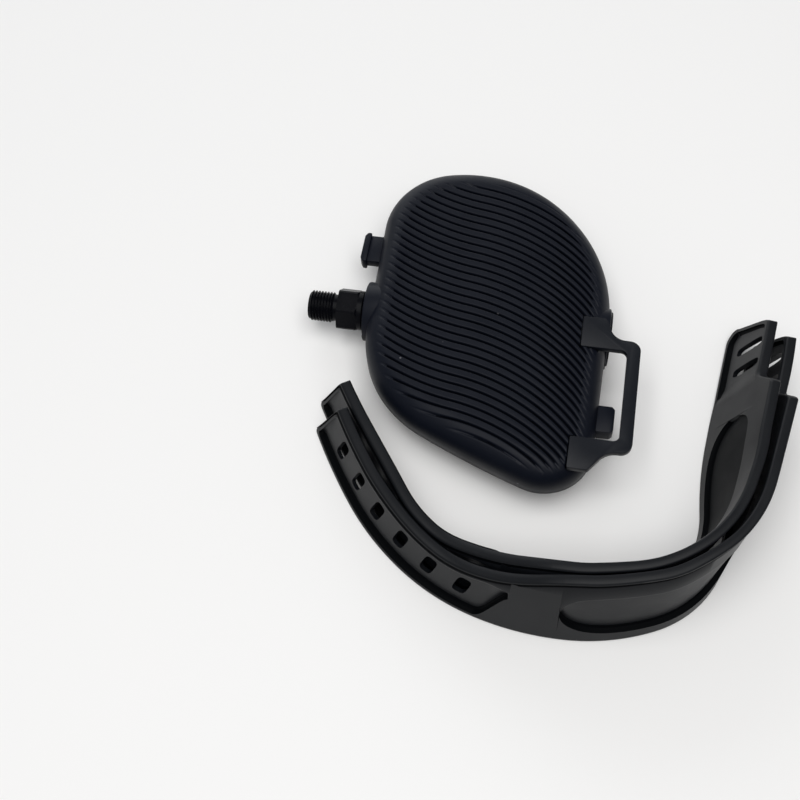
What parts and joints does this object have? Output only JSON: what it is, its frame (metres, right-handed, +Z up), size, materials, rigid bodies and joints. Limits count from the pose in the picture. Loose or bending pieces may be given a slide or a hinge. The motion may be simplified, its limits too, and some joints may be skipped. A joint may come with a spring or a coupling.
{
  "type": "exercise bike pedal",
  "caption": "Wide right-foot exercise bike pedal with a wavy grooved tread, a threaded spindle, an outer strap loop and pegs, and two moulded foot straps lying nested beside it.",
  "frame": {"origin": "on the spindle's axis, at the face of the hexagon where the crank stops", "axes": "+X outwards along the spindle, +Y towards the toe, +Z up through the tread"},
  "size_m": [0.1972, 0.1969, 0.0397],
  "materials": {
    "tread": "moulded black plastic, fine matte texture",
    "shell": "moulded black plastic, satin",
    "bracket": "moulded black plastic, smooth matte",
    "strap": "moulded flexible black plastic, soft sheen",
    "black_steel": "black oxide, turned",
    "bright_steel": "plain turned steel",
    "weight": "plain",
    "seal": "matte",
    "cap": "moulded black plastic"
  },
  "bodies": {
    "pedal": {"tread_cover": "tread", "lower_shell": "shell", "strap_bracket": "bracket", "cover_screws": "black_steel", "axle_tube": "bright_steel", "inner_cup": "bright_steel", "outer_cup": "bright_steel", "inner_seal": "seal", "dust_cap": "cap", "counterweight": "weight", "weight_screws": "bright_steel", "outer_strap": "strap", "inner_strap": "strap"},
    "spindle": {"spindle": "black_steel", "outer_cone": "bright_steel", "lock_washer": "bright_steel", "locknut": "bright_steel"},
    "inner_ball_set": {"inner_balls": "bright_steel"},
    "outer_ball_set": {"outer_balls": "bright_steel"}
  },
  "joints": [
    {"name": "spindle_spin", "type": "hinge", "parent": "pedal", "child": "spindle", "pos_m": [0, 0, 0], "axis": [1, 0, 0], "continuous": true},
    {"name": "inner_ball_spin", "type": "hinge", "parent": "pedal", "child": "inner_ball_set", "pos_m": [0.018, 0, 0], "axis": [1, 0, 0], "continuous": true},
    {"name": "outer_ball_spin", "type": "hinge", "parent": "pedal", "child": "outer_ball_set", "pos_m": [0.101, 0, 0], "axis": [1, 0, 0], "continuous": true}
  ],
  "couplings": [
    {"joint": "inner_ball_spin", "follows": "spindle_spin", "ratio": 0.4},
    {"joint": "outer_ball_spin", "follows": "spindle_spin", "ratio": 0.4}
  ]
}
